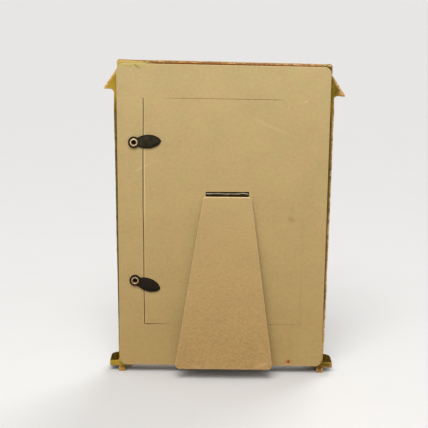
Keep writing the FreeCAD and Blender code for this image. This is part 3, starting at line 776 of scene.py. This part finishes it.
# Painted light: a pale pinkish band along the bottom edges of the board and the leg.
low_edge = add("MapRange", {0: on_leg, 3: 5.5 * mm, 4: 7.95 * mm})[0]
painted_edge_light = add("Math", {0: high, 1: low_edge}, operation="SUBTRACT")[0]
painted_edge_light = add("Math", {0: felt, 1: -2 * mm, 2: painted_edge_light}, operation="MULTIPLY_ADD")[0]
painted_edge_light = add("MapRange", {0: painted_edge_light, 1: -0.2 * mm, 2: 1.1 * mm, 3: 0.3, 4: 0.0})[0]
tan = add("Mix", {0: painted_edge_light, 6: tan, 7: "#C6A48C"})[2]

tan = add("Mix", {0: inside, 6: tan, 7: "#8F8775"})[2]
# Painted highlight on the cut edges, added to the paper's own paler edge: weak near the board's foot,
# strong on the leg.
painted_edge_light = add("MapRange", {0: high, 1: 9 * mm, 2: 12 * mm, 3: 0.12, 4: 0.4})[0]
painted_edge_light = add("MapRange", {0: on_leg, 3: painted_edge_light, 4: 0.85})[0]
edge = add("Math", {0: edge, 1: painted_edge_light}, operation="MULTIPLY")[0]
tan = add("Mix", {0: edge, 6: tan, 7: "#DFCA9C"})[2]
# Painted shade: the walls of the cut round the door are warm dark brown, for the shade in the narrow cut.
tan = add("Mix", {0: slit_shade, 6: tan, 7: "#8A5F10"})[2]
press = add("MapRange", {0: on_leg, 3: 0.45})[0]
height = add("Math", {0: strand, 1: 0.5, 2: felt}, operation="MULTIPLY_ADD")[0]
height = add("Math", {0: height, 1: press}, operation="MULTIPLY")[0]
relief = add("Bump", {"Height": height, "Distance": 0.16 * mm})[0]
surface = add("BsdfPrincipled", {"Base Color": tan, "Roughness": 0.82, "Specular IOR Level": 0.3,
                                 "Normal": relief})[0]
add("OutputMaterial", {"Surface": surface})

back_board = link_piece("card_back_board", board_mesh, card)
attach(back_board, "frame")
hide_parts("back_board")

slot_half = 14.45 * mm
slot_high = 2.70 * mm        # slot's top edge above the leg's hinge line
slot_low = 0.5 * mm          # and its bottom edge below it
slot_outline = even_outline([
    (hinge.x - slot_half, hinge.z - slot_low, 0), (hinge.x + slot_half, hinge.z - slot_low, 0),
    (hinge.x + slot_half, hinge.z + slot_high, 0),
    (hinge.x - slot_half, hinge.z + slot_high + 0.23 * mm, 0)], card_step)
door_mesh = cut_sheet("card_door", [(door_outline, knife_rounding), (slot_outline, 0.2 * mm)],
                      door_low.y, door_high.y, card_spacing, frayed=0.03 * mm)
store(door_mesh, "slit_shade", slit_walls(door_mesh))
cockle(door_mesh, card_cockle, 3)
door = link_piece("card_door", door_mesh, card)
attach(door, "door")
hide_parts("door_panel")

# The scored fold: a strip of the paper face that bridges the score and bends with it.
skin_half = 0.7 * mm
skin_proud = 0.012 * mm
skin_sag = 0.10 * mm         # at the foot; the score is shallower towards the top
skin_thick = 0.10 * mm
skin_columns = 9
skin_rows = 130
skin_points, skin_faces = [], []
for z in np.linspace(door_low.z, door_high.z - 0.9 * mm, skin_rows):
    for under in (0, skin_thick):
        for t in np.linspace(-1, 1, skin_columns):
            sag = skin_sag * (1 - 0.8 * (z - door_low.z) / (door_high.z - door_low.z)) * (1 - t * t) ** 2
            sag *= 1 + 1.5 * math.exp(-(z - door_low.z) / (3 * mm))
            skin_points.append((door_low.x + t * skin_half, board_high.y + skin_proud - sag - under, z))
row = 2 * skin_columns
for k in range(skin_rows - 1):
    for i in range(skin_columns - 1):
        a, b = k * row + i, (k + 1) * row + i
        skin_faces.append((a, b, b + 1, a + 1))
        skin_faces.append((a + skin_columns, a + skin_columns + 1, b + skin_columns + 1, b + skin_columns))
    a, b = k * row, (k + 1) * row
    skin_faces.append((a, a + skin_columns, b + skin_columns, b))
    skin_faces.append((a + skin_columns - 1, b + skin_columns - 1, b + row - 1, a + row - 1))
for a, turned in ((0, 1), ((skin_rows - 1) * row, -1)):
    for i in range(a, a + skin_columns - 1):
        skin_faces.append([i, i + 1, i + skin_columns + 1, i + skin_columns][::turned])
skin_mesh = new_mesh("fold_skin", skin_points, skin_faces)
fold_skin = link_piece("scored_fold_paper", skin_mesh, card, smooth=True)
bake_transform(fold_skin)


# ---- Turn buttons and eyelets ----
# Each button is a crowned leaf pressed from steel, tumbled and dipped in black lacquer.
# A brass eyelet holds it, set loosely enough for the leaf to turn by hand.

head_radius = 3.8 * mm
leaf_reach = 18.0 * mm
leaf_overlap = 3.2 * mm
leaf_width = 9.1 * mm
leaf_length = leaf_reach - head_radius + leaf_overlap
button_gap = 0.12 * mm       # between the card and the button
button_thick = 1.28 * mm
crown = 0.45 * mm            # how far the leaf falls from its middle to its edge
crown_width = 2.6 * mm


def button_outline(step):
    """The stamped outline round the eyelet at (0, 0), its leaf towards -X."""
    rough = []
    neck = -(head_radius - leaf_overlap)
    for t in np.linspace(0, 1, 60):
        oval = math.sqrt(max(0.0, 1 - (2 * t - 1) ** 2))
        pointed = math.sin(math.pi * t)
        half = leaf_width / 2 * (oval * (1 - 0.3 * t) + pointed * 0.3 * t)
        rough.append((neck - t * leaf_length, half))
    join = next(i for i, (x, half) in enumerate(rough) if math.hypot(x, half) > head_radius)
    x, half = rough[join]
    turn = math.atan2(half, x)
    head = [(head_radius * math.cos(a), head_radius * math.sin(a)) for a in np.linspace(0, turn, 30)[:-1]]
    upper = np.array(head + rough[join:])
    for _ in range(3):
        upper[1:-1] = (upper[:-2] + 2 * upper[1:-1] + upper[2:]) / 4
    lower = upper[1:-1][::-1] * (1, -1)
    return even_outline([(x, z, 0) for x, z in np.concatenate([upper, lower])], step)


# Black lacquer over steel: satin, with rubbed greyish patches on the crown, and painted shade:
# a darker band along the edge, and the lower button darker than the upper.
lacquer_black, add, where = new_material("black_lacquer_over_steel_rubbed")
cloud = add("TexNoise", {"Vector": where, "Scale": 1 / (3.5 * mm), "Detail": 4.0})[0]
grain = add("TexNoise", {"Vector": where, "Scale": 1 / (0.5 * mm), "Detail": 3.0})[0]
tone = add("MapRange", {0: cloud, 1: 0.35, 2: 0.65})[0]
black = add("Mix", {0: tone, 6: "#1D160C", 7: "#332C1E"})[2]
high = add("SeparateXYZ", {"Vector": where})["Z"]
# Painted shade: darker lower down, so the lower button is darker.
lower_shade = add("MapRange", {0: high, 1: 140 * mm, 2: 90 * mm, 4: 0.75})[0]
black = add("Mix", {0: lower_shade, 6: black, 7: "#170D05"})[2]
# Painted shade along the leaf's edge.
edge = add("Attribute", attribute_name="edge_shade")["Fac"]
black = add("Mix", {0: edge, 6: black, 7: "#140A03"})[2]
matt = add("MapRange", {0: cloud, 3: 0.55, 4: 0.70})[0]
relief = add("Bump", {"Height": grain, "Strength": 0.3, "Distance": 0.04 * mm})[0]
surface = add("BsdfPrincipled", {"Base Color": black, "Roughness": matt, "Specular IOR Level": 0.14,
                                 "Normal": relief})[0]
add("OutputMaterial", {"Surface": surface})

# Rolled brass with a thin nickel wash: pale, bright on the flange, and browner in spots. Painted shade
# makes the lower eyelet darker, and the bore is painted dull brown for the shade down the hole.
brass, add, where = new_material("nickel_washed_brass_rolled")
cloud = add("TexNoise", {"Vector": where, "Scale": 1 / (1.5 * mm), "Detail": 4.0})[0]
tone = add("MapRange", {0: cloud, 1: 0.46, 2: 0.70})[0]
metal = add("Mix", {0: tone, 6: "#CDBB99", 7: "#9A8259"})[2]
high = add("SeparateXYZ", {"Vector": where})["Z"]
# Painted shade: darker lower down.
lower_shade = add("MapRange", {0: high, 1: 140 * mm, 2: 90 * mm, 4: 0.45})[0]
metal = add("Mix", {0: lower_shade, 6: metal, 7: "#66502F"})[2]
# Painted shade: the bore's wall is dull brown.
bore_shade = add("Attribute", attribute_name="bore")["Fac"]
metal = add("Mix", {0: bore_shade, 6: metal, 7: "#8A4E1C"})[2]
matt = add("MapRange", {0: cloud, 3: 0.40, 4: 0.55})[0]
clean = add("MapRange", {0: bore_shade, 3: 1.0, 4: 0.2})[0]
surface = add("BsdfPrincipled", {"Base Color": metal, "Metallic": clean, "Roughness": matt})[0]
add("OutputMaterial", {"Surface": surface})


def lathe(name, profile, centre, count):
    """A closed ring turned about a line along Y through centre. profile is (radius, y) points."""
    points, faces = [], []
    rows = len(profile)
    for k in range(count):
        turn = 2 * math.pi * k / count
        points += [(centre.x + r * math.cos(turn), y, centre.z + r * math.sin(turn)) for r, y in profile]
    for k in range(count):
        a, b = k * rows, (k + 1) % count * rows
        faces += [(a + i, b + i, b + (i + 1) % rows, a + (i + 1) % rows) for i in range(rows)]
    return new_mesh(name, points, faces)


bore, flange = 1.55 * mm, 2.6 * mm
ring_sides = 48
leaf_rounding, hole_rounding = 0.35 * mm, 0.1 * mm
for side, angle in (("upper", 3.2), ("lower", -19.4)):
    outline = button_outline(0.45 * mm)
    hole = circle_outline(0, 0, barrel + 0.08 * mm, hole_sides)
    face_low = card_face + button_gap
    face_high = face_low + button_thick
    leaf_mesh = cut_sheet("turn_leaf_" + side, [(outline, leaf_rounding), (hole, hole_rounding)],
                          face_low, face_high, 0.6 * mm)
    points = points_of(leaf_mesh)
    x, y, z = points.T
    from_edge = np.linalg.norm(points[:, None, ::2] - outline[None], axis=2).min(1)
    fall = crown * (1 - fade(from_edge, 0, crown_width)) * fade(-x, 2 * mm, 5 * mm)
    y -= fall * (y - face_low) / button_thick
    set_points(leaf_mesh, points)
    store(leaf_mesh, "edge_shade", 1 - fade(from_edge, 0.3 * mm, 1.4 * mm))
    leaf_mesh.transform(Matrix.Translation((pivots[side].x, 0, pivots[side].z))
                        @ Matrix.Rotation(math.radians(angle), 4, "Y"))
    leaf = link_piece("turn_button_leaf_" + side, leaf_mesh, lacquer_black, smooth=True)
    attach(leaf, side + "_button")
    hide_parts("turn_button_" + side)

    back, front = (corner.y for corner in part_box("eyelet_" + side))
    ring = [(bore, back + 1.0 * mm), (bore, front - 0.9 * mm), (bore + 0.04 * mm, front - 0.45 * mm),
            (bore + 0.16 * mm, front - 0.15 * mm), (bore + 0.38 * mm, front),
            (flange - 0.25 * mm, front - 0.08 * mm), (flange - 0.05 * mm, front - 0.22 * mm),
            (flange, front - 0.36 * mm),
            (flange - 0.08 * mm, front - 0.48 * mm), (barrel, front - 0.5 * mm),
            (barrel, back + 0.5 * mm), (flange - 0.1 * mm, back + 0.48 * mm), (flange, back + 0.3 * mm),
            (flange - 0.15 * mm, back + 0.08 * mm), (bore + 0.3 * mm, back)]
    ring_mesh = lathe("eyelet_" + side, ring, pivots[side], ring_sides)
    store(ring_mesh, "bore", [float(r < bore + 0.1 * mm) for r, y in ring] * ring_sides)
    ring_piece = link_piece("brass_eyelet_" + side, ring_mesh, brass, smooth=True)
    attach(ring_piece, "frame")
    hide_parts("eyelet_" + side)


# ---- Hinge tape ----
# A strip of black bookbinder's cloth, waxed and creased. Its top is glued inside the
# door, it loops out through the slot, and its lower half is glued behind the leg.

tape_half = 14.0 * mm
tape_thick = 0.4 * mm
tape_rows, tape_columns = 150, 90
swing_out = (Matrix.Translation((0, hinge.y, hinge.z)) @ Matrix.Rotation(rest_angle, 4, "X")
             @ Matrix.Translation((0, -hinge.y, -hinge.z)))

# Its line from the glued top down, as (y, z) off the leg's hinge line.
tape_line = np.array([(-2.91, 13.7), (-2.91, 8.2), (-2.91, 4.2), (-2.75, 3.0), (-2.1, 2.35), (-1.3, 2.1),
                      (-0.6, 1.6), (-0.15, 0.8), (-0.10, -0.2), (-0.20, -1.4), (-0.20, -5.8),
                      (-0.20, -15.8)]) * mm
tape_line += (hinge.y, hinge.z)
for i, (y, z) in enumerate(tape_line):
    if z < hinge.z - 0.5 * mm:
        tape_line[i] = (swing_out @ Vector((0, y, z)))[1:]
along = np.concatenate([[0], np.cumsum(np.linalg.norm(np.diff(tape_line, axis=0), axis=1))])
even = np.linspace(0, along[-1], tape_rows)
tape_line = np.stack([np.interp(even, along, values) for values in tape_line.T], 1)
for _ in range(9):
    tape_line[1:-1] = (tape_line[:-2] + 2 * tape_line[1:-1] + tape_line[2:]) / 4
y, z = tape_line.T - np.array([[hinge.y], [hinge.z]])
# Painted highlight: a thin pale line along the tape's ridge in the slot, broken along its length.
ridge = np.exp(-((z - 1.62 * mm) / (0.14 * mm)) ** 2) * (y > -2.2 * mm)
loose = np.exp(-((z - 1.6 * mm) / (1.2 * mm)) ** 2) * (y > -2.6 * mm)
tape_points, tape_faces, ridge_glint = [], [], []
for x in np.linspace(-tape_half, tape_half, tape_columns):
    wave = noise.noise(Vector((x / (5 * mm), 4.2, 0.5)))
    glint_break = 0.75 + 0.5 * noise.noise(Vector((x / (2.5 * mm), 1.7, 8.5)))
    tape_points += [(hinge.x + x, y, z + 0.4 * mm * wave * free) for (y, z), free in zip(tape_line, loose)]
    ridge_glint += list(ridge * glint_break)
for i in range(tape_columns - 1):
    for a in range(i * tape_rows, (i + 1) * tape_rows - 1):
        tape_faces.append((a, a + tape_rows, a + tape_rows + 1, a + 1))
tape_mesh = new_mesh("tape", tape_points, tape_faces)
store(tape_mesh, "ridge_glint", ridge_glint)

# Book cloth: black cotton filled with wax. The weave shows softly, and a thin pale wavy line along the
# ridge is a painted highlight.
# Its threads are drawn 1 mm apart, coarser than they are.
cloth, add, where = new_material("black_book_cloth_waxed")
warp, weft = (add("TexWave", {"Vector": where, "Scale": 1 / (6.0 * mm), "Distortion": 0.4},
                  bands_direction=axis)[0] for axis in "XZ")
weave = add("Math", {0: warp, 1: weft}, operation="MULTIPLY")[0]
cloud = add("TexNoise", {"Vector": where, "Scale": 1 / (4 * mm), "Detail": 3.0})[0]
black = add("Mix", {0: cloud, 6: "#1E1300", 7: "#2A1E02"})[2]
glint = add("Attribute", attribute_name="ridge_glint")["Fac"]
glint = add("Math", {0: glint, 1: 0.85}, operation="MULTIPLY", use_clamp=True)[0]
black = add("Mix", {0: glint, 6: black, 7: "#D2CBB6"})[2]
relief = add("Bump", {"Height": weave, "Strength": 0.4, "Distance": 0.06 * mm})[0]
surface = add("BsdfPrincipled", {"Base Color": black, "Roughness": 0.62, "Specular IOR Level": 0.06,
                                 "Normal": relief})[0]
add("OutputMaterial", {"Surface": surface})

tape = link_piece("hinge_tape", tape_mesh, cloth, smooth=True)
thicken = tape.modifiers.new("thickness", "SOLIDIFY")
thicken.thickness = tape_thick
thicken.offset = 0
tape.data = bpy.data.meshes.new_from_object(tape.evaluated_get(bpy.context.evaluated_depsgraph_get()))
tape.modifiers.clear()
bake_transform(tape)
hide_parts("hinge_tape_anchor", "hinge_tape_flap")


# ---- Easel leg ----
# The same paper-faced board, stamped to a taper with rounded corners. It is glued to the
# lower half of the hinge tape, which lets it swing back to prop the frame up.

leg_top = hinge.z - 0.25 * mm
leg_foot = 7.4 * mm
leg_step = 0.8 * mm
leg_rounding = 0.5 * mm
top_half, top_corner = 16.15 * mm, 2.5 * mm
foot_left, foot_right, foot_corner = 32.0 * mm, 34.8 * mm, 3 * mm    # to -X and +X of the hinge tape
leg_outline = even_outline([
    (hinge.x - foot_left, leg_foot, foot_corner), (hinge.x + foot_right, leg_foot, foot_corner),
    (hinge.x + top_half, leg_top, top_corner), (hinge.x - top_half, leg_top, top_corner)], leg_step)

# Its foot is scuffed, most of all at the corner towards +X.
places = np.insert(leg_outline, 1, 0.7, 1)
x, z = leg_outline.T
scuffed = fade(-z, -9.5 * mm, -7.4 * mm)
corner_wear = scuffed * fade(x, hinge.x + 22 * mm, hinge.x + 32 * mm)
z += (0.32 * mm * scuffed + 0.5 * mm * corner_wear) * np.abs(ripple(places, 1.8 * mm, 12))

leg_mesh = cut_sheet("card_leg", [(leg_outline, leg_rounding)], hinge.y, hinge.y + leg_thick, 2.5 * mm,
                     frayed=0.08 * mm)
cockle(leg_mesh, 0.05 * mm, 4)
store(leg_mesh, "on_leg", [1.0] * len(leg_mesh.vertices))
# Painted highlight: the leg's cut edges are paler along its top, where they catch the light, and less so at
# its foot.
x, y, z = points_of(leg_mesh).T
leg_half = (leg_top - leg_foot) / 2
at_ends = fade(np.abs(z - (leg_top + leg_foot) / 2), leg_half - 1.5 * mm, leg_half - 0.6 * mm)
at_ends = np.where(z > 50 * mm, at_ends, -0.6 * at_ends)
lit_cut_edge = (stored(leg_mesh, "cut") * (0.45 + 0.5 * at_ends)).astype(np.float32)
leg_mesh.attributes["cut"].data.foreach_set("value", lit_cut_edge)
leg_mesh.transform(swing_out)
leg = link_piece("card_easel_leg", leg_mesh, card)
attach(leg, "leg")
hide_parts("easel_leg")
